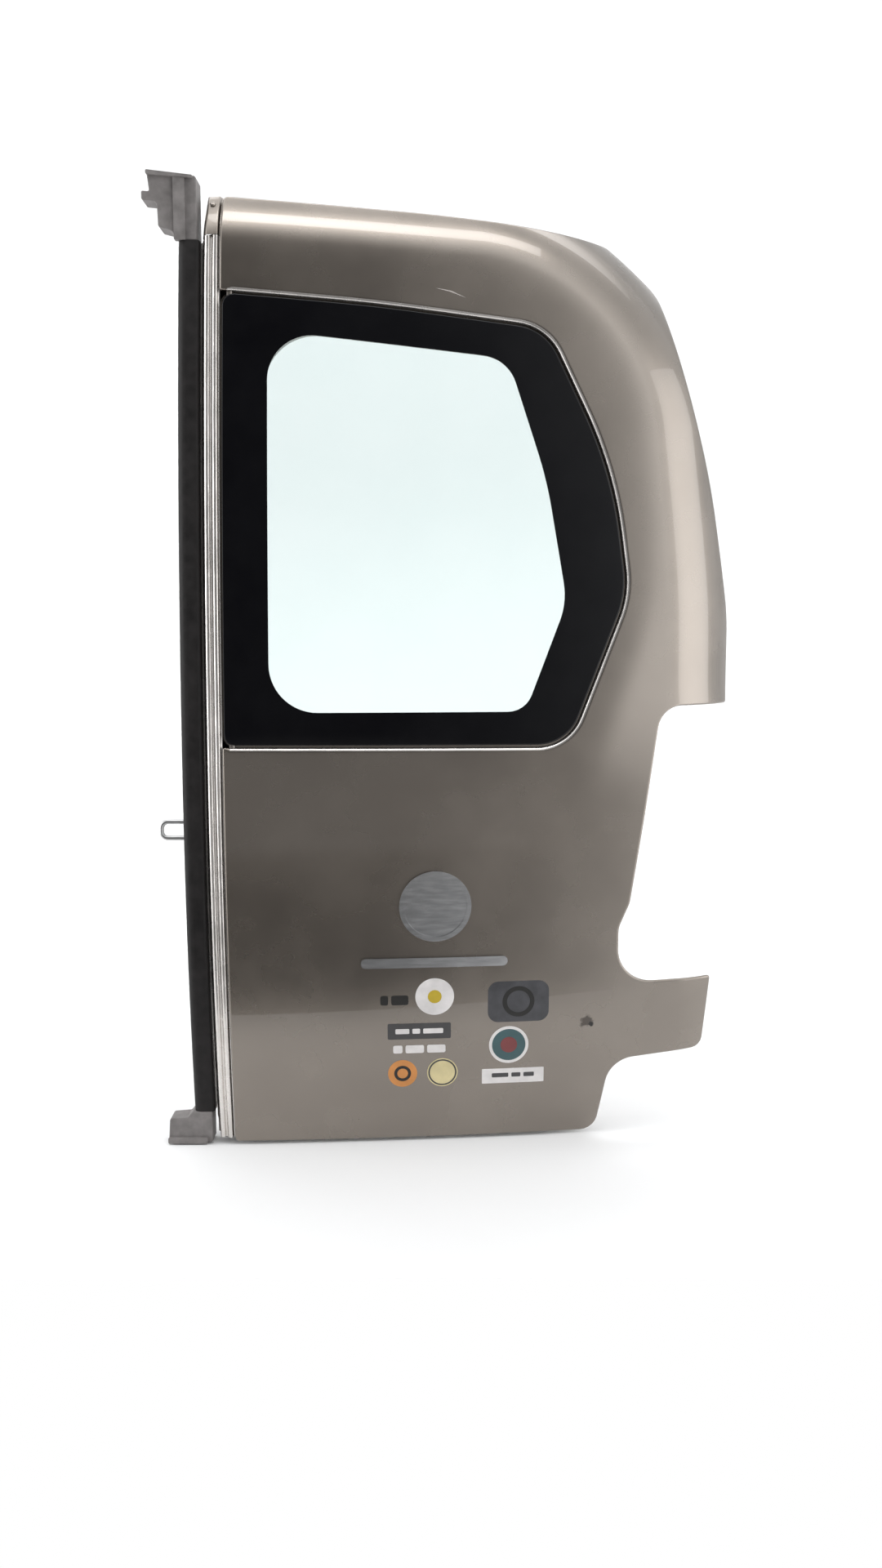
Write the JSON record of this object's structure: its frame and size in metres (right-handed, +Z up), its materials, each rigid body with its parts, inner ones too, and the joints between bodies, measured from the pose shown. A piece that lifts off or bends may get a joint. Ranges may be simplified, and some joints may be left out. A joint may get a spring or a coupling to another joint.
{
  "type": "van rear door",
  "caption": "Right-hand rear door of a small van: painted, hemmed steel skin with bonded tinted window, lamp cut-out, closing-edge seal and bolt-on hinge plates.",
  "frame": {"origin": "centre of the upper hinge plate's flat mounting face", "axes": "+X out of the hinge plate, to the right as the van is seen from behind; +Y into the van; +Z up"},
  "size_m": [0.751, 0.18, 1.2318],
  "materials": {
    "body_paint": "warm grey-brown metallic, glossy clear coat, light scuffs",
    "inner_paint": "same paint, thinner coat on the inner pressing",
    "tinted_glass": "pale green tint with a black printed border",
    "adhesive": "black bonding bead",
    "seal_rubber": "matt black extruded rubber",
    "zinc_steel": "zinc-plated steel",
    "bare_steel": "plain hardened steel",
    "trim_plastic": "grained grey moulding",
    "black_plastic": "satin black moulding",
    "chrome": "bright plated"
  },
  "bodies": {
    "root": {"outer_skin": "body_paint", "inner_panel": "inner_paint", "window_glass": "tinted_glass", "glass_bond": "adhesive", "edge_channel": "body_paint", "edge_tongue": "body_paint", "centre_seal": "seal_rubber", "seal_top_end": "seal_rubber", "seal_bottom_end": "seal_rubber", "striker_plate": "zinc_steel", "striker_loop": "bare_steel", "upper_hinge_plate": "inner_paint", "lower_hinge_plate": "inner_paint", "trim_panel": "trim_plastic", "trim_clips": "black_plastic", "top_latch_body": "black_plastic", "top_latch_bolt": "bare_steel", "bottom_latch_body": "black_plastic", "bottom_latch_bolt": "bare_steel", "lever_bezel": "black_plastic", "release_lever": "black_plastic", "blanking_plugs": "seal_rubber", "stop_buffers": "seal_rubber", "badge_disc": "chrome", "badge_strip": "chrome"}
  },
  "joints": []
}
